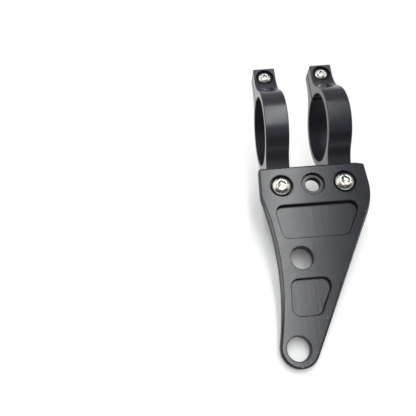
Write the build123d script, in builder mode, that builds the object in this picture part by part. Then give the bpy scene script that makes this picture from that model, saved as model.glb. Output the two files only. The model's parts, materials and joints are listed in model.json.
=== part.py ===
"""Headlight mounting bracket for one fork leg: a pocketed plate on two split fork clamps.

The origin is on the fork axis, midway between the clamps. X runs along the fork, Y from the lamp end
towards the pinch lugs, and Z up from the bench. The bracket lies as it rests by itself: on the two clamp
rings and on the lower edge of the plate's tip, so the plate leans a little about X.
All features are drawn on a datum plane that leans with the plate.
"""
import os
from math import asin, atan2, cos, hypot, sin, sqrt

from build123d import *

os.makedirs("parts", exist_ok=True)

# Fork clamps, with Y measured from the fork axis
fork_diameter = 37.0
ring_wall = 3.3
clamp_width = 12.0
clamp_spacing = 32.0
lug_thickness = 11.5
lug_end = 36.6
blend_radius = 18.0
slit_width = 1.2
clamp_edge = 0.4
seat_height = 4.6
shoulder_gap = 0.4
tang_past_screw = 6.0

# Mounting plate
plate_thickness = 5.0
plate_left = -27.2
plate_right = 28.5
plate_edge = 0.5
wide_end = -26.6
wide_end_left = -26.5
wide_end_right = 27.4
wide_left_radius = 0.8
wide_right_radius = 1.8
screw_row = -36.6
right_shoulder = -46.4
right_shoulder_radius = 32.0
left_shoulder_radius = 15.0
tip_centre = Vector(-18.0, -114.8)
tip_radius = 8.7
waist_x = -22.6
left_edge_radius = 150.0
lamp_hole = Vector(-18.6, -114.9)
middle_hole = Vector(-11.2, -74.0)
lamp_hole_diameter = 11.0
hole_edge = 0.15

# Pockets in the plate's face, each between two lines across the plate
pocket_depth = 2.5
pocket_margin = 4.7
pocket_corner_radius = 3.8
pocket_edge = 0.2
wide_pocket = (-64.1, -47.0)
tip_pocket = (-101.0, -83.9)

# Plate screws: M6 button heads in shallow counterbores
plate_thread = 6.0
plate_screw_length = 12.0
plate_screw_clearance = 7.5
plate_counterbore = 11.4
plate_counterbore_depth = 1.5
counterbore_edge = 0.15

# Pinch screws: M4 button heads sunk in the upper lugs
pinch_thread = 4.0
pinch_screw_length = 8.0
pinch_screw_clearance = 4.5
pinch_counterbore = 10.0
pinch_row = 30.9
pinch_seat = 4.4

# Button heads by thread: head diameter, rim height, head height, crown diameter, socket width, socket depth
button_heads = {6.0: (10.5, 0.7, 3.3, 5.6, 4.0, 2.1), 4.0: (7.6, 0.6, 2.2, 3.6, 2.5, 1.3)}
thread_gap = 0.05

# Sizes that follow from those above
bore_radius = fork_diameter / 2
ring_radius = bore_radius + ring_wall
lug_half = lug_thickness / 2
face_height = seat_height + plate_thickness
tang_end = screw_row - tang_past_screw
clamp_positions = (-clamp_spacing / 2, clamp_spacing / 2)

# The lean at which the rings and the lower edge of the tip touch the bench together
tip_reach = tip_radius - plate_edge - tip_centre.Y
lean = asin(ring_radius / hypot(tip_reach, seat_height)) + atan2(seat_height, tip_reach)
datum = Plane(origin=(0, 0, 0), x_dir=(1, 0, 0), z_dir=(0, -sin(lean), cos(lean)))
plate_normal = Axis((0, 0, 0), datum.z_dir)

# The plate's hollow left edge is an arc that runs smoothly into the round tip
left_arc_centre_x = waist_x - left_edge_radius
tip_to_centre_x = left_arc_centre_x - tip_centre.X
tip_to_centre_y = sqrt((left_edge_radius + tip_radius) ** 2 - tip_to_centre_x ** 2)
tip_to_centre = Vector(tip_to_centre_x, tip_to_centre_y)
tip_left = tip_centre + tip_to_centre.normalized() * tip_radius
shoulder_run = sqrt(left_edge_radius ** 2 - (plate_left - left_arc_centre_x) ** 2)
left_shoulder = tip_centre.Y + tip_to_centre_y + shoulder_run

with BuildSketch() as sharp_outline:
    with BuildLine():
        tip_circle = CenterArc(tip_centre, tip_radius, 0, 360, mode=Mode.PRIVATE)
        right_edge = ConstrainedLines(tip_circle, (plate_right, right_shoulder),
                                      selector=lambda lines: lines.sort_by(Axis.X)[-1]).edge()
        tip_right, shoulder_point = right_edge.vertices().sort_by(Axis.Y)
        RadiusArc(tip_right, tip_left, tip_radius)
        left_edge = RadiusArc(tip_left, (plate_left, left_shoulder), -left_edge_radius)
        Polyline(left_edge @ 1, (wide_end_left, wide_end), (wide_end_right, wide_end), shoulder_point)
    make_face()

with BuildSketch() as plate_outline:
    add(sharp_outline.sketch)
    wide_left, wide_right = plate_outline.vertices().group_by(Axis.Y)[-1].sort_by(Axis.X)
    fillet(wide_left, wide_left_radius)
    fillet(wide_right, wide_right_radius)
    # The shoulders are the outermost corners
    fillet(plate_outline.vertices().sort_by(Axis.X)[0], left_shoulder_radius)
    fillet(plate_outline.vertices().sort_by(Axis.X)[-1], right_shoulder_radius)

with BuildSketch() as pocket_limit:
    add(sharp_outline.sketch)
    offset(amount=-pocket_margin, mode=Mode.REPLACE)

with BuildPart() as mounting_plate:
    with BuildSketch(datum.offset(seat_height)):
        add(plate_outline.sketch)
    extrude(amount=plate_thickness)
    chamfer(mounting_plate.faces().filter_by(plate_normal).edges(), plate_edge)

    with BuildSketch(datum.offset(face_height)):
        with Locations(lamp_hole, middle_hole):
            Circle(lamp_hole_diameter / 2)
    extrude(amount=-plate_thickness, mode=Mode.SUBTRACT)
    chamfer(mounting_plate.edges(Select.LAST).group_by(plate_normal)[-1], hole_edge)

    with BuildSketch(datum.offset(face_height)) as pockets:
        for low, high in (wide_pocket, tip_pocket):
            with Locations(((plate_left + plate_right) / 2, (low + high) / 2)):
                Rectangle(plate_right - plate_left, high - low)
        add(pocket_limit.sketch, mode=Mode.INTERSECT)
        fillet(pockets.vertices(), pocket_corner_radius)
    extrude(amount=-pocket_depth, mode=Mode.SUBTRACT)
    chamfer(mounting_plate.edges(Select.LAST).group_by(plate_normal)[-1], pocket_edge)

    with Locations(datum.offset(face_height)):
        with Locations(*((x, screw_row) for x in (*clamp_positions, 0))):
            CounterBoreHole(plate_screw_clearance / 2, plate_counterbore / 2, plate_counterbore_depth,
                            plate_thickness)
    chamfer(mounting_plate.edges(Select.LAST).group_by(plate_normal)[-1], counterbore_edge)

mounting_plate.part.label = "mounting_plate"
export_step(mounting_plate.part, "parts/mounting_plate.step")

# Split fork clamps: the ring runs into the lug and the tang through long tangent arcs
blend_y = sqrt((ring_radius + blend_radius) ** 2 - (lug_half + blend_radius) ** 2)
ring_blend = Vector(blend_y, lug_half + blend_radius).normalized() * ring_radius

for name, clamp_x in zip(("left_fork_clamp", "right_fork_clamp"), clamp_positions):
    side_plane = Plane(origin=(clamp_x - clamp_width / 2, 0, 0), x_dir=datum.y_dir, z_dir=(1, 0, 0))
    with BuildPart() as clamp:
        with BuildSketch(side_plane):
            with BuildLine():
                Polyline((tang_end, 0), (tang_end, lug_half), (-blend_y, lug_half))
                TangentArc((-blend_y, lug_half), (-ring_blend.X, ring_blend.Y), tangent=(1, 0))
                ThreePointArc((-ring_blend.X, ring_blend.Y), (0, ring_radius), ring_blend)
                TangentArc((blend_y, lug_half), ring_blend, tangent=(-1, 0))
                Polyline((blend_y, lug_half), (lug_end, lug_half), (lug_end, 0))
                mirror(about=Plane.XZ)
            make_face()
            Circle(bore_radius, mode=Mode.SUBTRACT)
        extrude(amount=clamp_width)
        chamfer(clamp.faces().filter_by(Axis.X).edges(), clamp_edge)

        # Seat for the plate, up to a low shoulder beside the plate's wide end
        with BuildSketch(datum.offset(seat_height)):
            with Locations((clamp_x, wide_end + shoulder_gap)):
                Rectangle(2 * clamp_width, lug_end, align=(Align.CENTER, Align.MAX))
        extrude(amount=ring_radius, mode=Mode.SUBTRACT)
        with BuildSketch(datum.offset(seat_height)):
            with Locations((clamp_x, screw_row)):
                Circle(plate_thread / 2 + thread_gap)
        extrude(amount=-2 * lug_thickness, mode=Mode.SUBTRACT)

        # Slit between the lugs, and the pinch screw's holes
        with BuildSketch(datum):
            with Locations((clamp_x, 0)):
                Rectangle(2 * clamp_width, 2 * lug_end, align=(Align.CENTER, Align.MIN))
        extrude(amount=slit_width / 2, both=True, mode=Mode.SUBTRACT)
        with BuildSketch(datum.offset(pinch_seat)):
            with Locations((clamp_x, pinch_row)):
                Circle(pinch_counterbore / 2)
        extrude(amount=ring_radius, mode=Mode.SUBTRACT)
        with BuildSketch(datum):
            with Locations((clamp_x, pinch_row)):
                Circle(pinch_screw_clearance / 2)
        extrude(amount=lug_half, mode=Mode.SUBTRACT)
        with BuildSketch(datum):
            with Locations((clamp_x, pinch_row)):
                Circle(pinch_thread / 2 + thread_gap)
        extrude(amount=-lug_thickness, mode=Mode.SUBTRACT)

    clamp.part.label = name
    export_step(clamp.part, f"parts/{name}.step")


def button_screw(thread, length):
    """A button head socket screw that points down from its seat at Z zero."""
    head_diameter, rim_height, head_height, crown_diameter, socket, socket_depth = button_heads[thread]
    rim = Vector(head_diameter / 2, rim_height)
    crown = Vector(crown_diameter / 2, head_height)
    dome_centre = (crown.dot(crown) - rim.dot(rim)) / (2 * (head_height - rim_height))
    dome_radius = hypot(rim.X, rim.Y - dome_centre)
    thread_radius = thread / 2
    with BuildPart() as screw:
        with BuildSketch(Plane.XZ):
            with BuildLine():
                RadiusArc(rim, crown, -dome_radius)
                Polyline(crown, (0, head_height), (0, -length), (thread_radius, -length), (thread_radius, 0),
                         (rim.X, 0), rim)
            make_face()
        revolve(axis=Axis.Z)
        with BuildSketch(Plane.XY.offset(head_height)):
            RegularPolygon(socket / 2, 6, major_radius=False)
        extrude(amount=-socket_depth, mode=Mode.SUBTRACT)
    return screw.part


# The two screws of a kind share one node, as separate solids
screw_groups = {
    "plate_screws": (plate_thread, plate_screw_length, screw_row, face_height - plate_counterbore_depth),
    "pinch_screws": (pinch_thread, pinch_screw_length, pinch_row, pinch_seat),
}
for name, (thread, length, row, seat) in screw_groups.items():
    screw = button_screw(thread, length)
    with BuildPart(datum.offset(seat)) as screws:
        with Locations(*((x, row) for x in clamp_positions)):
            add(screw)
    screws.part.label = name
    export_step(screws.part, f"parts/{name}.step")
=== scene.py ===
"""Looks of the headlight mounting bracket: a black anodised plate and fork clamps with stainless screws."""
import json
from math import atan2, hypot, radians, sqrt, tau

import bmesh
import bpy
from mathutils import Matrix, Vector


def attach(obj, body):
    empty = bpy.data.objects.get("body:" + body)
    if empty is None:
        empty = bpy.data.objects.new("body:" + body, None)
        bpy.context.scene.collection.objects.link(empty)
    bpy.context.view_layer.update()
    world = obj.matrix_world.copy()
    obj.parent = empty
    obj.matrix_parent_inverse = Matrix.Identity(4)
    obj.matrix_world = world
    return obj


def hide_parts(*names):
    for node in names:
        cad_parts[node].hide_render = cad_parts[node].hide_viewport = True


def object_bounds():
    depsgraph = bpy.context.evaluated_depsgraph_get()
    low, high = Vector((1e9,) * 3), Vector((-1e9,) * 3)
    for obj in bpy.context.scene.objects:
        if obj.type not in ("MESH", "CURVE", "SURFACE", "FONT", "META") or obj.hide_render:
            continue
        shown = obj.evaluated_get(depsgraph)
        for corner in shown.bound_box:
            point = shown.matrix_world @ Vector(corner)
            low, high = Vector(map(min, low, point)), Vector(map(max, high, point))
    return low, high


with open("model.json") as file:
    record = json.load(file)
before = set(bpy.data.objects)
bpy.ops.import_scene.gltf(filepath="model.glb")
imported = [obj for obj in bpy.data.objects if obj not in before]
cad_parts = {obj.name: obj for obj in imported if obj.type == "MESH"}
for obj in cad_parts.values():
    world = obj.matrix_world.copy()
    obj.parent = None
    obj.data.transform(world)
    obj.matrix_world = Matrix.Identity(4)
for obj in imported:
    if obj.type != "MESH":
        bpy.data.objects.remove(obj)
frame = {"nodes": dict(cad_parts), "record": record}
cad_low, cad_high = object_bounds()
nodes_made = frame["nodes"]
mounts = {mount["name"]: mount for mount in frame["record"]["mounts"]}
scene = bpy.context.scene

# The plate leans about X, and its datum plane goes through the fork axis
plate_axis = Vector(mounts["lamp_hole"]["axis"])
lean = atan2(-plate_axis.y, plate_axis.z)
datum = Matrix.Rotation(lean, 4, "X")

# Places on the datum plane, in metres
clamp_positions = (-0.016, 0.016)
screw_row = -0.0366
pinch_row = 0.0309
plate_face = 0.0096
plate_screw_seat = 0.0081
pinch_screw_seat = 0.0044
pocket_floor = 0.0071
lug_top = 0.00575
bore_radius = 0.0185
pinch_counterbore_radius = 0.0050

merge_distance = 1e-6
fine_merge_distance = 1e-7


def put(name, data):
    """A new object in the scene."""
    made = bpy.data.objects.new(name, data)
    scene.collection.objects.link(made)
    return made


def to_new_mesh(name, shape):
    """A new mesh from a bmesh, which is then freed."""
    mesh = bpy.data.meshes.new(name)
    shape.to_mesh(mesh)
    shape.free()
    return mesh


def join(shape, other):
    """Adds another bmesh to a shape, and frees it."""
    mesh = to_new_mesh("joined", other)
    shape.from_mesh(mesh)
    bpy.data.meshes.remove(mesh)


def unique(items):
    """Each item once, in the order they come."""
    return list(dict.fromkeys(items))


def cut(shape, place, normal, **ends):
    """Cuts a whole bmesh along a plane."""
    whole = shape.verts[:] + shape.edges[:] + shape.faces[:]
    bmesh.ops.bisect_plane(shape, geom=whole, plane_co=place, plane_no=normal, **ends)


def extrude(shape, edges):
    """Extrudes edges on the spot. Gives the new ring's corners, its open edges and the faces between."""
    made = bmesh.ops.extrude_edge_only(shape, edges=edges)["geom"]
    corners = [item for item in made if isinstance(item, bmesh.types.BMVert)]
    open_edges = [item for item in made if isinstance(item, bmesh.types.BMEdge) and item.is_boundary]
    faces = [item for item in made if isinstance(item, bmesh.types.BMFace)]
    return corners, open_edges, faces


def smooth_piece(name, node, shape, sharp_degrees):
    """A bmesh as a piece in place of a CAD node, smooth but for edges from that angle on."""
    mesh = to_new_mesh(name, shape)
    # Corner normals copied from a CAD node no longer belong to the faces
    if "custom_normal" in mesh.attributes:
        mesh.attributes.remove(mesh.attributes["custom_normal"])
    mesh.shade_smooth()
    mesh.set_sharp_from_angle(angle=radians(sharp_degrees))
    piece = put(name, mesh)
    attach(piece, "root")
    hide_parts(node)
    return piece


# Screws

head_steps = 96
dome_steps = 12
thread_steps = 32
screw_sharp_degrees = 32
socket_turns = {"plate_screws": (0.1, -0.1), "pinch_screws": (0.05, 0.0)}

# Lengths in pitches of the thread, then shares: the neck's of the thread's diameter, the point's of the
# thread's end, and the cone's and the bevel's of the socket's width
neck_pitches = 0.6
neck_gap_pitches = 0.2
thread_depth_pitches = 0.54
point_pitches = 0.5
neck_share = 0.46
point_share = 0.82
socket_cone_share = 0.12
mouth_bevel_share = 0.05

# Finishes of a screw's faces, as places in its list of materials. The socket's walls and floor are darkened
# with painted shade.
socket_wall, socket_floor = 1, 2


def ring_edges(screw, height, radius):
    """The edges of the ring of that radius at that height."""

    def on_ring(vert):
        off_radius = hypot(vert.co.x, vert.co.y) - radius
        return abs(vert.co.z - height) < merge_distance and abs(off_radius) < merge_distance

    return [edge for edge in screw.edges if on_ring(edge.verts[0]) and on_ring(edge.verts[1])]


def threaded_rod(thread, pitch, length, top):
    """A thread with a chamfered point: one pitch of its profile winds down, and is cut level at both ends."""
    turns = int((length + pitch) / pitch) + 1
    crest = thread / 2
    root = crest - pitch * thread_depth_pitches
    # Radius, and share of the pitch down from the top
    profile = ((crest, 0), (crest, 0.12), (root, 0.5), (root, 0.68), (crest, 1))
    rod = bmesh.new()
    points = [rod.verts.new((radius, 0, pitch * (1 - share))) for radius, share in profile]
    for upper, lower in zip(points, points[1:]):
        rod.edges.new((upper, lower))
    bmesh.ops.spin(rod, geom=rod.verts[:] + rod.edges[:], cent=(0, 0, 0), axis=(0, 0, 1), angle=tau * turns,
                   steps=thread_steps * turns, dvec=(0, 0, -pitch / thread_steps))
    bmesh.ops.remove_doubles(rod, verts=rod.verts, dist=merge_distance)
    point = pitch * point_pitches
    for height, up in ((top, 1), (point - length, -1)):
        cut(rod, (0, 0, height), (0, 0, up), clear_outer=True)
    bmesh.ops.remove_doubles(rod, verts=rod.verts, dist=merge_distance)

    end = [edge for edge in rod.edges if edge.is_boundary and edge.verts[0].co.z < -length / 2]
    tip_ring, tip_edges, _ = extrude(rod, end)
    bmesh.ops.scale(rod, vec=(point_share, point_share, 1), verts=tip_ring)
    bmesh.ops.translate(rod, vec=(0, 0, -point), verts=tip_ring)
    bmesh.ops.edgeloop_fill(rod, edges=tip_edges)
    return rod


def button_screw(thread, pitch, length, head_diameter, rim_height, head_height, crown_diameter, socket,
                 socket_depth, turn):
    """A button head socket screw that points down from its seat at Z zero, as a bmesh."""
    screw = bmesh.new()
    head_radius = head_diameter / 2
    crown_radius = crown_diameter / 2
    dome_centre = (crown_radius ** 2 + head_height ** 2 - head_radius ** 2 - rim_height ** 2) / 2
    dome_centre /= head_height - rim_height
    dome_sweep = atan2(head_height - dome_centre, crown_radius) - atan2(rim_height - dome_centre, head_radius)
    neck_radius = thread * neck_share
    neck_depth = pitch * neck_pitches

    # The rim swings up over the dome to the crown, then the whole line spins round the screw's axis
    rim = screw.verts.new((head_radius, 0, rim_height))
    bmesh.ops.spin(screw, geom=[rim], cent=(0, 0, dome_centre), axis=(0, -1, 0), angle=dome_sweep,
                   steps=dome_steps)
    for step in ((head_radius, 0, 0), (neck_radius, 0, 0), (neck_radius, 0, -neck_depth)):
        corner = screw.verts.new(step)
        screw.edges.new((rim, corner))
        rim = corner
    bmesh.ops.spin(screw, geom=screw.verts[:] + screw.edges[:], cent=(0, 0, 0), axis=(0, 0, 1), angle=tau,
                   steps=head_steps, use_merge=True)
    bmesh.ops.remove_doubles(screw, verts=screw.verts, dist=fine_merge_distance)

    # Hexagon socket with a drilled, conical floor. Its mouth joins the crown from above and then comes down,
    # because the bridge may twist between two rings in one plane.
    place = Matrix.Translation((0, 0, 2 * head_height)) @ Matrix.Rotation(turn, 4, "Z")
    corners = bmesh.ops.create_circle(screw, radius=socket / sqrt(3), segments=6, matrix=place)["verts"]
    mouth = unique(edge for corner in corners for edge in corner.link_edges)
    bmesh.ops.subdivide_edges(screw, edges=mouth, cuts=head_steps // 6 - 1)
    mouth = [edge for edge in screw.edges if edge.is_wire]
    crown = ring_edges(screw, head_height, crown_radius)
    bmesh.ops.bridge_loops(screw, edges=crown + mouth)
    mouth_ring = unique(vert for edge in mouth for vert in edge.verts)
    bmesh.ops.translate(screw, verts=mouth_ring, vec=(0, 0, -head_height))
    floor_ring, floor_edges, walls = extrude(screw, mouth)
    for wall in walls:
        wall.material_index = socket_wall
    bmesh.ops.translate(screw, verts=floor_ring, vec=(0, 0, -socket_depth))
    floor = bmesh.ops.edgeloop_fill(screw, edges=floor_edges)["faces"]
    floor[0].material_index = socket_floor
    middle = bmesh.ops.poke(screw, faces=floor)["verts"]
    bmesh.ops.translate(screw, verts=middle, vec=(0, 0, -socket * socket_cone_share))
    bmesh.ops.bevel(screw, geom=mouth, offset=socket * mouth_bevel_share, affect="EDGES", segments=2,
                    profile=0.5, material=-1)

    join(screw, threaded_rod(thread, pitch, length, -neck_depth - pitch * neck_gap_pitches))
    open_rings = [edge for edge in screw.edges if edge.is_boundary]
    bmesh.ops.bridge_loops(screw, edges=open_rings)
    bmesh.ops.recalc_face_normals(screw, faces=screw.faces)
    return screw


def screw_piece(name, node, row, seat, **sizes):
    """The two screws of a kind as one piece, in place of their CAD node."""
    both = bmesh.new()
    for x, turn in zip(clamp_positions, socket_turns[node]):
        screw = button_screw(turn=turn, **sizes)
        bmesh.ops.transform(screw, matrix=datum @ Matrix.Translation((x, row, seat)), verts=screw.verts)
        join(both, screw)
    piece = smooth_piece(name, node, both, screw_sharp_degrees)
    return piece


plate_screws = screw_piece(
    "plate_button_screws", "plate_screws", screw_row, plate_screw_seat, thread=0.006, pitch=0.001,
    length=0.012, head_diameter=0.0105, rim_height=0.0007, head_height=0.0033, crown_diameter=0.0056,
    socket=0.004, socket_depth=0.0021)
pinch_screws = screw_piece(
    "pinch_button_screws", "pinch_screws", pinch_row, pinch_screw_seat, thread=0.004, pitch=0.0007,
    length=0.008, head_diameter=0.0076, rim_height=0.0006, head_height=0.0022, crown_diameter=0.0036,
    socket=0.0025, socket_depth=0.0013)


# Plate

plate_sharp_degrees = 30
same_height = 2e-5
faces_up = 0.5

# The outer break goes from the face to the wall's top. It is wider along the sides: each pair of places
# along the plate says where it has its CAD width and where it is fully widened.
wall_top = 0.0091
wider_break = 0.0005
wider_at_wide_end = (-0.0420, -0.0530)
wider_at_tip = (-0.1080, -0.0850)

# A band of the face beside each edge. The layer is 1 on the outer break's border and 0 elsewhere.
face_band = 0.0005
tight_corner = 0.0003
break_layer = "at_break"

# The wide end falls away as the square of the way past a place in X. The reach says where in Y that begins
# and where it is full.
fall_from = 0.0215
fall_cuts = (0.0215, 0.0225, 0.0235, 0.0245)
fall_rate = 29.0
fall_reach = (-0.0310, -0.0276)


def milled_plate(name, node):
    """The plate with a wider break on its upper edge, and a wide end that falls away to the right."""
    shape = bmesh.new()
    shape.from_mesh(nodes_made[node].data)
    at_break = shape.verts.layers.float.new(break_layer)
    bmesh.ops.remove_doubles(shape, verts=shape.verts, dist=merge_distance)
    bmesh.ops.transform(shape, matrix=datum.inverted(), verts=shape.verts)
    shape.normal_update()

    def at(vert, height):
        return abs(vert.co.z - height) < same_height

    def widening(vert):
        """Full along the sides, and nothing beside the screws or round the tip."""
        spans = (wider_at_wide_end, wider_at_tip)
        share = min((none - vert.co.y) / (none - full) for none, full in spans)
        return wider_break * min(max(share, 0), 1)

    # Both borders of the break move away from the edge
    wall_ring = [vert for vert in shape.verts if at(vert, wall_top)]
    outwards = {}
    for face in unique(face for vert in wall_ring for face in vert.link_faces):
        if face.normal.z > faces_up:
            level = Vector((face.normal.x, face.normal.y, 0)).normalized()
            for vert in face.verts:
                if at(vert, plate_face):
                    outwards[vert] = outwards.get(vert, Vector()) + level
    for vert, way in outwards.items():
        vert.co -= way.normalized() * widening(vert)
    for vert in wall_ring:
        vert.co.z -= widening(vert)

    # The band's inner corners merge where the corner is too tight for it
    face_side = [face for face in shape.faces if all(at(vert, plate_face) for vert in face.verts)]
    bmesh.ops.inset_region(shape, faces=face_side, thickness=face_band, use_boundary=True,
                           use_even_offset=True)
    inner_ring = unique(vert for face in face_side for vert in face.verts)
    bmesh.ops.remove_doubles(shape, verts=inner_ring, dist=tight_corner)
    for face in unique(face for vert in wall_ring for face in vert.link_faces):
        for vert in face.verts:
            if at(vert, plate_face):
                vert[at_break] = 1

    for place in fall_cuts:
        cut(shape, (place, 0, 0), (1, 0, 0))
    none_at, full_at = fall_reach
    for vert in shape.verts:
        if vert.co.x > fall_from and vert.co.y > none_at:
            share = min((vert.co.y - none_at) / (full_at - none_at), 1)
            vert.co.y -= share * fall_rate * (vert.co.x - fall_from) ** 2
    bmesh.ops.transform(shape, matrix=datum, verts=shape.verts)
    piece = smooth_piece(name, node, shape, plate_sharp_degrees)
    return piece


plate = milled_plate("milled_plate", "mounting_plate")


# Finishes

# A spot is whole up to this share of its reach, and ragged where a noise is between these values
spot_core = 0.6
ragged_edge = (0.42, 0.54)


class Nodes:
    """Short ways to add and link the nodes of one tree."""

    def __init__(self, tree):
        self.tree = tree

    def add(self, kind, inputs=None, **settings):
        """A new node's outputs. Its inputs are set, or linked where a socket is given."""
        node = self.tree.nodes.new(kind)
        for key, value in settings.items():
            setattr(node, key, value)
        for key, value in (inputs or {}).items():
            self.give(node.inputs[key], value)
        return node.outputs

    def give(self, socket, value):
        if isinstance(value, bpy.types.NodeSocket):
            self.tree.links.new(value, socket)
        else:
            socket.default_value = value

    def ramp(self, value, low, high, to_low=0.0, to_high=1.0):
        """Goes smoothly from to_low to to_high while the value goes from low to high."""
        span = {"Value": value, "From Min": low, "From Max": high, "To Min": to_low, "To Max": to_high}
        return self.add("ShaderNodeMapRange", span, interpolation_type="SMOOTHSTEP")["Result"]

    def math(self, operation, *values):
        return self.add("ShaderNodeMath", dict(enumerate(values)), operation=operation)["Value"]

    def measure(self, operation, *vectors):
        """A number from one or two vectors, such as their distance."""
        return self.add("ShaderNodeVectorMath", dict(enumerate(vectors)), operation=operation)["Value"]

    def axes(self, vector):
        return self.add("ShaderNodeSeparateXYZ", {"Vector": vector})

    def blend(self, share, first, second):
        """One colour or normal that goes over into another as the share grows."""
        return self.add("ShaderNodeMix", {0: share, 6: first, 7: second}, data_type="RGBA")[2]

    def mapped(self, place, **change):
        named = {key.capitalize(): value for key, value in change.items()}
        return self.add("ShaderNodeMapping", {"Vector": place, **named})["Vector"]

    def noise(self, place, scale=1.0, detail=2.0, distortion=0.0):
        grain = {"Vector": place, "Scale": scale, "Detail": detail, "Distortion": distortion}
        return self.add("ShaderNodeTexNoise", grain)["Fac"]

    def near(self, place, spot, reach):
        """1 at a spot, falling to 0 at its reach."""
        return self.ramp(self.measure("DISTANCE", place, spot), reach, reach * spot_core)

    def spots(self, place, spots, ragged):
        """1 in a list of spots with ragged edges."""
        inside = self.near(place, *spots[0])
        for spot, reach in spots[1:]:
            inside = self.math("MAXIMUM", inside, self.near(place, spot, reach))
        return self.math("MULTIPLY", inside, self.ramp(ragged, *ragged_edge))

    def rounding(self, radius, samples):
        """Normals that round the edges off."""
        return self.add("ShaderNodeBevel", {"Radius": radius}, samples=samples)["Normal"]

    def bump(self, height, distance, normal=None):
        relief = {"Height": height, "Distance": distance, "Strength": 1.0}
        if normal is not None:
            relief["Normal"] = normal
        return self.add("ShaderNodeBump", relief)["Normal"]


def new_finish(name):
    """A material with its nodes, its shader and the places on the leaning datum plane."""
    material = bpy.data.materials.new(name)
    material.use_nodes = True
    nodes = Nodes(material.node_tree)
    shader = material.node_tree.nodes["Principled BSDF"].inputs
    place = nodes.add("ShaderNodeTexCoord")["Object"]
    return material, nodes, shader, nodes.mapped(place, rotation=(-lean, 0, 0))


black = (0.0075, 0.0074, 0.0115, 1)
worn_black = (0.0110, 0.0110, 0.0155, 1)
bare_metal = (0.30, 0.29, 0.28, 1)

# Specular levels of the anodising, and what the break adds to them along the sides, round the tip
# and beside the screws. What the break adds is a painted highlight along the sides and painted shade round
# the tip.
anodising_gloss = 0.5
dulled_gloss = 0.05
# The specular level in the clamps' bores and counterbores is painted shade
shaded_hollow_gloss = 0.12
side_break_highlight = 0.65
tip_break_shade = -0.3
screw_break_gloss = 0.0

# How far walls, creases, bores and the tops of the lugs are dulled, and how bare an edge gets. At the creases
# and bores the dulling is painted shade.
wall_dullness = 0.85
crease_shade_strength = 0.85
bore_shade = 0.65
lug_top_dullness = 0.4
bareness = 0.4

# Lowest and highest roughness, and what each place adds to it
plate_roughness = (0.195, 0.225)
notch_roughness = 0.4
floor_roughness = 0.015
wall_roughness = 0.2
clamp_roughness = (0.235, 0.255)
side_roughness = -0.16
lug_top_roughness = 0.08
hollow_roughness = 0.35

# Depths of the reliefs and radii of the rounded edges, in metres
brush_depth = 0.000018
cutter_depth = 0.000036
turning_depth = 0.000004
side_grain_depth = 0.000003
steel_depth = 0.0000015
plate_rounding = 0.00035
crease_reach = 0.0006
clamp_rounding = 0.0001

# Scales of the noises, along X, Y and Z where a grain runs one way
brush_grain = (800, 16, 800)
cutter_grain = (500, 300, 500)
turning_grain = (2600, 50, 50)
plate_cloud_grain = 80
clamp_cloud_grain = 110
ragged_grain = 1500
plate_speck_grain = 700
clamp_speck_grain = 800
side_grain = 3800
smear_and_reflection_grain = 900
steel_grain = 2600

# Every pair below says where a look begins and where it is full. First those of the noises.
clouds_span = (0.3, 0.7)
plate_specks_span = (0.66, 0.74)
clamp_specks_span = (0.68, 0.76)
smears_and_reflections_span = (0.36, 0.60)

# How upright the normal is on the plate's faces, and how far it points along X on a clamp's sides
level_span = (0.90, 0.98)
break_low_span = (0.55, 0.65)
break_high_span = (0.85, 0.75)
wall_span = (0.6, 0.3)
side_span = (0.80, 0.97)

# How far a rounded normal agrees with the straight one at a worn edge and at a crease, and the value of the
# layer beside the outer break
worn_edge_span = (0.995, 0.96)
crease_span = (0.999, 0.985)
break_line_span = (0.1, 0.6)

# Heights, places and distances on the datum plane, in metres
floor_span = (0.0005, 0.0002)
upper_edge_span = (0.0082, 0.0088)
heavy_marks_span = (-0.075, -0.082)
tip_break_span = (-0.106, -0.086)
screw_break_span = (-0.042, -0.052)
bore_span = (bore_radius + 0.0004, bore_radius + 0.0001)
counterbore_span = (pinch_counterbore_radius + 0.0003, pinch_counterbore_radius + 0.0001)
under_lug_top_span = (lug_top, lug_top - 0.0002)
lug_span = (0.0225, 0.0250)
lug_top_span = (0.0050, 0.0056)

# Share of the cutter marks' depth in the pocket that isn't near the tip
light_marks = 0.35

# Notches in the plate's upper edge, darkened with painted shade, and chips down to the metal: place on the
# datum plane and reach
plate_notches_shaded = (
    ((-0.0150, -0.0270, 0.0094), 0.0010), ((-0.0134, -0.0267, 0.0094), 0.0007),
    ((-0.0052, -0.0268, 0.0094), 0.0008), ((-0.0022, -0.0269, 0.0094), 0.0007),
    ((-0.0188, -0.1232, 0.0093), 0.0010), ((-0.0258, -0.1182, 0.0093), 0.0007),
)
plate_chips = (
    ((-0.0143, -0.0272, 0.0096), 0.0005), ((-0.0045, -0.0270, 0.0096), 0.0004),
    ((0.0232, -0.0531, 0.0093), 0.0006), ((-0.0181, -0.1229, 0.0096), 0.0006),
    ((-0.0038, -0.1026, 0.0096), 0.0004), ((0.0049, -0.0359, 0.0082), 0.0006),
)


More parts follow.
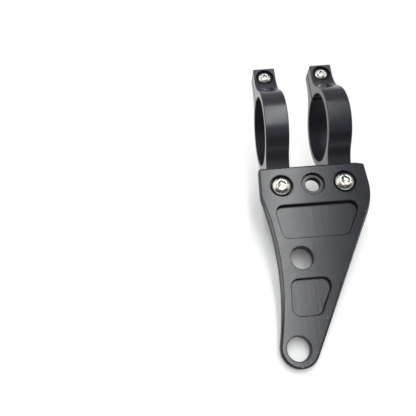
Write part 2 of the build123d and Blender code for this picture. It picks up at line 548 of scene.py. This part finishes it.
def anodised_plate():
    """Black anodising over a lengthwise brushed face, with cutter marks in the pockets and worn edges."""
    material, nodes, shader, level = new_finish("anodised_plate")
    along = nodes.axes(level)
    brushed = nodes.noise(nodes.mapped(level, scale=brush_grain), detail=5)
    clouds = nodes.noise(level, plate_cloud_grain, detail=3)

    # Pocket floors, with heavier cutter marks in the pocket near the tip
    from_floor = nodes.math("ABSOLUTE", nodes.math("SUBTRACT", along["Z"], pocket_floor))
    on_floor = nodes.ramp(from_floor, *floor_span)
    swirls = nodes.noise(nodes.mapped(level, scale=cutter_grain), detail=3, distortion=1.0)
    mark_depth = nodes.ramp(along["Y"], *heavy_marks_span, light_marks, 1.0)
    marks = nodes.math("MULTIPLY", nodes.math("MULTIPLY", swirls, on_floor), mark_depth)

    # The breaks and walls round into their neighbours, and the level faces stay flat up to their borders
    facing = nodes.mapped(nodes.add("ShaderNodeTexCoord")["Normal"], rotation=(-lean, 0, 0))
    upright = nodes.math("ABSOLUTE", nodes.axes(facing)["Z"])
    on_level = nodes.ramp(upright, *level_span)
    over_wall = nodes.ramp(upright, *break_low_span)
    on_break = nodes.math("MULTIPLY", over_wall, nodes.ramp(upright, *break_high_span))
    on_wall = nodes.ramp(upright, *wall_span)
    straight = nodes.add("ShaderNodeNewGeometry")["Normal"]
    rounded = nodes.rounding(plate_rounding, samples=8)
    brushed_normal = nodes.bump(brushed, brush_depth, nodes.blend(on_level, rounded, straight))
    nodes.give(shader["Normal"], nodes.bump(marks, cutter_depth, brushed_normal))

    # Notches darkened with painted shade, with bare metal in the chips and in specks along the upper edge
    ragged = nodes.noise(level, ragged_grain, detail=3)
    notch_and_shade = nodes.spots(level, plate_notches_shaded, ragged)
    chip = nodes.spots(level, plate_chips, ragged)
    edge = nodes.ramp(nodes.measure("DOT_PRODUCT", rounded, straight), *worn_edge_span)
    edge = nodes.math("MULTIPLY", edge, nodes.ramp(along["Z"], *upper_edge_span))
    specks = nodes.ramp(nodes.noise(level, plate_speck_grain, detail=5), *plate_specks_span)
    specks = nodes.math("MULTIPLY", edge, specks)
    bare = nodes.math("MULTIPLY", nodes.math("MAXIMUM", chip, specks), bareness)
    tone = nodes.blend(brushed, black, worn_black)
    nodes.give(shader["Base Color"], nodes.blend(bare, tone, bare_metal))
    nodes.give(shader["Metallic"], bare)

    roughness = nodes.ramp(clouds, *clouds_span, *plate_roughness)
    roughness = nodes.math("MULTIPLY_ADD", notch_and_shade, notch_roughness, roughness)
    roughness = nodes.math("MULTIPLY_ADD", on_floor, floor_roughness, roughness)
    nodes.give(shader["Roughness"], nodes.math("MULTIPLY_ADD", on_wall, wall_roughness, roughness))

    # Painted shade: a dark line on the level faces beside each edge, wider along the outer break, where their
    # reflection is lowered
    bent = nodes.measure("DOT_PRODUCT", nodes.rounding(crease_reach, samples=8), straight)
    at_break = nodes.add("ShaderNodeAttribute", attribute_name=break_layer)["Fac"]
    break_line = nodes.ramp(at_break, *break_line_span)
    crease_shade = nodes.math("MAXIMUM", nodes.ramp(bent, *crease_span), break_line)
    crease_shade = nodes.math("MULTIPLY", crease_shade, on_level)
    dulled_or_shaded = nodes.math("MAXIMUM", nodes.math("MULTIPLY", on_wall, wall_dullness), notch_and_shade)
    dulled_or_shaded = nodes.math("MAXIMUM", nodes.math("MULTIPLY", crease_shade, crease_shade_strength), dulled_or_shaded)
    gloss = nodes.ramp(dulled_or_shaded, 0.0, 1.0, anodising_gloss, dulled_gloss)

    # Painted highlight and shade: the break's reflection is raised along the sides, lowered round the tip,
    # and left as it is beside the screws
    past_tip = nodes.ramp(along["Y"], *tip_break_span, tip_break_shade, side_break_highlight)
    past_screws = nodes.ramp(along["Y"], *screw_break_span, screw_break_gloss, side_break_highlight)
    break_highlight_and_shade = nodes.math("MINIMUM", past_tip, past_screws)
    nodes.give(shader["Specular IOR Level"], nodes.math("MULTIPLY_ADD", on_break, break_highlight_and_shade, gloss))
    return material


def anodised_clamp():
    """Black anodising over turned rings, with smoother side faces, and painted shade in the bores and
    counterbores, where the reflection is lowered.
    """
    material, nodes, shader, level = new_finish("anodised_clamp")
    along = nodes.axes(level)
    turned = nodes.noise(nodes.mapped(level, scale=turning_grain), detail=4)
    speckle = nodes.noise(level, side_grain, detail=3)
    clouds = nodes.noise(level, clamp_cloud_grain, detail=3)

    facing = nodes.axes(nodes.add("ShaderNodeTexCoord")["Normal"])["X"]
    on_side = nodes.ramp(nodes.math("ABSOLUTE", facing), *side_span)
    from_fork_axis = nodes.measure("LENGTH", nodes.mapped(level, scale=(0, 1, 1)))
    # Painted shade: the bores and counterbores get a lower specular level and more roughness, so that they
    # show dark
    in_bore = nodes.ramp(from_fork_axis, *bore_span)
    from_middle = nodes.math("SUBTRACT", nodes.math("ABSOLUTE", along["X"]), clamp_positions[1])
    over_lug = nodes.add("ShaderNodeCombineXYZ", {"X": from_middle, "Y": along["Y"]})["Vector"]
    from_screw = nodes.measure("DISTANCE", over_lug, (0, pinch_row, 0))
    under_top = nodes.ramp(along["Z"], *under_lug_top_span)
    in_counterbore = nodes.math("MULTIPLY", under_top, nodes.ramp(from_screw, *counterbore_span))
    hollow_shade = nodes.math("MAXIMUM", nodes.math("MULTIPLY", in_bore, bore_shade), in_counterbore)
    on_lug = nodes.ramp(along["Y"], *lug_span)
    on_top = nodes.math("MULTIPLY", on_lug, nodes.ramp(along["Z"], *lug_top_span))

    rounded = nodes.rounding(clamp_rounding, samples=6)
    turned_normal = nodes.bump(turned, turning_depth, rounded)
    side_relief = nodes.math("MULTIPLY", speckle, on_side)
    nodes.give(shader["Normal"], nodes.bump(side_relief, side_grain_depth, turned_normal))

    straight = nodes.add("ShaderNodeNewGeometry")["Normal"]
    edge = nodes.ramp(nodes.measure("DOT_PRODUCT", rounded, straight), *worn_edge_span)
    specks = nodes.ramp(nodes.noise(level, clamp_speck_grain, detail=5), *clamp_specks_span)
    bare = nodes.math("MULTIPLY", edge, specks)
    tone = nodes.blend(turned, black, worn_black)
    nodes.give(shader["Base Color"], nodes.blend(bare, tone, bare_metal))
    nodes.give(shader["Metallic"], bare)
    roughness = nodes.ramp(clouds, *clouds_span, *clamp_roughness)
    roughness = nodes.math("MULTIPLY_ADD", on_side, side_roughness, roughness)
    roughness = nodes.math("MULTIPLY_ADD", on_top, lug_top_roughness, roughness)
    nodes.give(shader["Roughness"], nodes.math("MULTIPLY_ADD", hollow_shade, hollow_roughness, roughness))
    dulled_or_shaded = nodes.math("MAXIMUM", hollow_shade, nodes.math("MULTIPLY", on_top, lug_top_dullness))
    gloss = nodes.ramp(dulled_or_shaded, 0.0, 1.0, anodising_gloss, shaded_hollow_gloss)
    nodes.give(shader["Specular IOR Level"], gloss)
    return material


def stainless(name, dull, bright, roughness):
    """Steel with faint smears and a painted mottled reflection, from a dull to a bright tone. roughness is
    its lowest and highest value.
    """
    material, nodes, shader, level = new_finish(name)
    smears_and_reflections = nodes.ramp(nodes.noise(level, smear_and_reflection_grain, detail=4), *smears_and_reflections_span)
    fine = nodes.noise(level, steel_grain, detail=3)
    nodes.give(shader["Normal"], nodes.bump(fine, steel_depth))
    nodes.give(shader["Roughness"], nodes.ramp(fine, *clouds_span, *roughness))
    nodes.give(shader["Base Color"], nodes.blend(smears_and_reflections, dull, bright))
    shader["Metallic"].default_value = 1.0
    return material


plate_finish = anodised_plate()
clamp_finish = anodised_clamp()
screw_finishes = [
    stainless("polished_stainless", (0.30, 0.28, 0.25, 1), (0.56, 0.55, 0.52, 1), (0.16, 0.25)),
    # Painted shade: the socket's walls are near black and its floor darker than the head
    stainless("shaded_socket_walls", (0.02, 0.019, 0.018, 1), (0.07, 0.067, 0.063, 1), (0.35, 0.5)),
    stainless("shaded_drilled_socket_floor", (0.22, 0.21, 0.20, 1), (0.40, 0.39, 0.37, 1), (0.24, 0.36)),
]
dressed = (
    (plate, [plate_finish]),
    (nodes_made["left_fork_clamp"], [clamp_finish]),
    (nodes_made["right_fork_clamp"], [clamp_finish]),
    (plate_screws, screw_finishes),
    (pinch_screws, screw_finishes),
)
for piece, finishes in dressed:
    piece.data.materials.clear()
    for material in finishes:
        piece.data.materials.append(material)


# Bench

bench_reach = 4.0
bench_white = (0.94, 0.94, 0.93, 1)
plain_white = (1, 1, 1, 1)

# The shadow shows in an oval under the plate, and is gone between two shares of its reach
shadow_middle = (-0.013, -0.078, 0)
shadow_reach = (0.053, 0.065)
shadow_fade = (0.65, 1.5)


def white_bench():
    """Matt white, which turns to plain white light away from the part, so that only its shadow shows."""
    material, nodes, shader, _ = new_finish("white_bench")
    shader["Base Color"].default_value = bench_white
    shader["Roughness"].default_value = 0.9
    shader["Specular IOR Level"].default_value = 0.1
    rays = nodes.add("ShaderNodeLightPath")
    looking = nodes.math("MAXIMUM", rays["Is Camera Ray"], rays["Is Glossy Ray"])
    looking = nodes.math("MAXIMUM", looking, rays["Is Transmission Ray"])
    place = nodes.add("ShaderNodeTexCoord")["Object"]
    both = {0: place, 1: shadow_middle}
    from_middle = nodes.add("ShaderNodeVectorMath", both, operation="SUBTRACT")["Vector"]
    away = nodes.mapped(from_middle, scale=(1 / shadow_reach[0], 1 / shadow_reach[1], 0))
    faded = nodes.ramp(nodes.measure("LENGTH", away), *shadow_fade)
    share = nodes.math("MULTIPLY", faded, looking)
    white = nodes.add("ShaderNodeEmission", {"Color": plain_white, "Strength": 1.0})["Emission"]
    matt = material.node_tree.nodes["Principled BSDF"].outputs["BSDF"]
    surface = nodes.add("ShaderNodeMixShader", {0: share, 1: matt, 2: white})["Shader"]
    nodes.give(material.node_tree.nodes["Material Output"].inputs["Surface"], surface)
    return material


top = bmesh.new()
bmesh.ops.create_grid(top, x_segments=8, y_segments=8, size=bench_reach,
                      matrix=Matrix.Translation((0, 0, cad_low.z)))
bench = put("bench", to_new_mesh("bench", top))
bench.data.materials.append(white_bench())


# Room, seen only in the part's reflections: bright walls on both sides, a dim and blotchy one in front,
# a grey horizon, and a ceiling that darkens to the right. Matt surfaces get a soft light from above instead.

left_ceiling = (0.68, 0.72, 0.79, 1)
right_ceiling = (0.11, 0.125, 0.155, 1)
left_wall = (1.8, 1.8, 1.77, 1)
right_wall = (1.05, 1.05, 1.03, 1)
front_wall = ((0.05, 0.044, 0.040, 1), (0.28, 0.235, 0.21, 1))
horizon = (0.40, 0.41, 0.43, 1)
soft_light = ((0.14, 0.14, 0.15, 1), (0.75, 0.76, 0.78, 1))

# Where each begins and where it is full, along X, Y or Z of the direction
ceiling_x_span = (0.06, 0.58)
walls_z_span = (0.82, 0.60)
left_x_span = (-0.10, -0.60)
right_x_span = (0.50, 0.85)
front_z_span = (0.66, 0.52)
front_y_span = (-0.10, -0.50)
horizon_z_span = (0.18, 0.06)
soft_z_span = (0.15, 0.60)
blotches_span = (0.40, 0.60)
blotch_grain = 3.5

room = bpy.data.worlds.new("room")
scene.world = room
room.use_nodes = True
walls = Nodes(room.node_tree)
direction = walls.add("ShaderNodeTexCoord")["Generated"]
way = walls.axes(direction)
around = walls.blend(walls.ramp(way["X"], *ceiling_x_span), left_ceiling, right_ceiling)
under_ceiling = walls.ramp(way["Z"], *walls_z_span)
on_left = walls.math("MULTIPLY", under_ceiling, walls.ramp(way["X"], *left_x_span))
around = walls.blend(on_left, around, left_wall)
on_right = walls.math("MULTIPLY", under_ceiling, walls.ramp(way["X"], *right_x_span))
around = walls.blend(on_right, around, right_wall)
blotches = walls.ramp(walls.noise(direction, blotch_grain, detail=3), *blotches_span)
in_front = walls.math("MULTIPLY", walls.ramp(way["Z"], *front_z_span), walls.ramp(way["Y"], *front_y_span))
around = walls.blend(in_front, around, walls.blend(blotches, *front_wall))
around = walls.blend(walls.ramp(way["Z"], *horizon_z_span), around, horizon)
rays = walls.add("ShaderNodeLightPath")
soft = walls.blend(walls.ramp(way["Z"], *soft_z_span), *soft_light)
shown = walls.blend(rays["Is Glossy Ray"], soft, around)
shown = walls.blend(rays["Is Camera Ray"], shown, plain_white)
walls.give(room.node_tree.nodes["Background"].inputs["Color"], shown)


# Lamps and camera

def softbox(name, place, size, watts, colour, turn):
    """A soft rectangular lamp that shines down from its place, then turned by degrees about X, Y and Z."""
    light = bpy.data.lights.new(name, "AREA")
    light.shape = "RECTANGLE"
    light.size, light.size_y = size
    light.energy = watts
    light.color = colour
    lamp = put(name, light)
    lamp.location = place
    lamp.rotation_euler = [radians(angle) for angle in turn]
    lamp.visible_camera = False


strip_turn = (0, 0, -7.6)
softbox("right_strip", place=(0.200, 0.1, 1.2), size=(0.13, 1.33), watts=6.2, colour=(0.975, 1, 0.985),
        turn=strip_turn)
softbox("left_strip", place=(-0.24, 0.1, 1.2), size=(0.12, 1.33), watts=5.7, colour=(0.98, 0.99, 1),
        turn=strip_turn)
softbox("side_box", place=(1.1, -0.1, 0.95), size=(0.9, 0.9), watts=2.4, colour=(1, 1, 1), turn=(0, 49, 0))

camera_place = (-0.058066, -0.164852, 0.187353)
camera_right = (0.997, -0.07364, -0.02381)
camera_up = (0.07498, 0.84283, 0.53293)
camera_back = (-0.01917, -0.53312, 0.84582)

lens = bpy.data.cameras.new("camera")
lens.sensor_fit = "HORIZONTAL"
lens.sensor_width = 36
lens.lens = 38.897
lens.clip_start = 0.01
camera = put("camera", lens)
camera_turn = Matrix((camera_right, camera_up, camera_back)).transposed().to_4x4()
camera.matrix_world = Matrix.Translation(camera_place) @ camera_turn
scene.camera = camera
scene.view_settings.view_transform = "Standard"
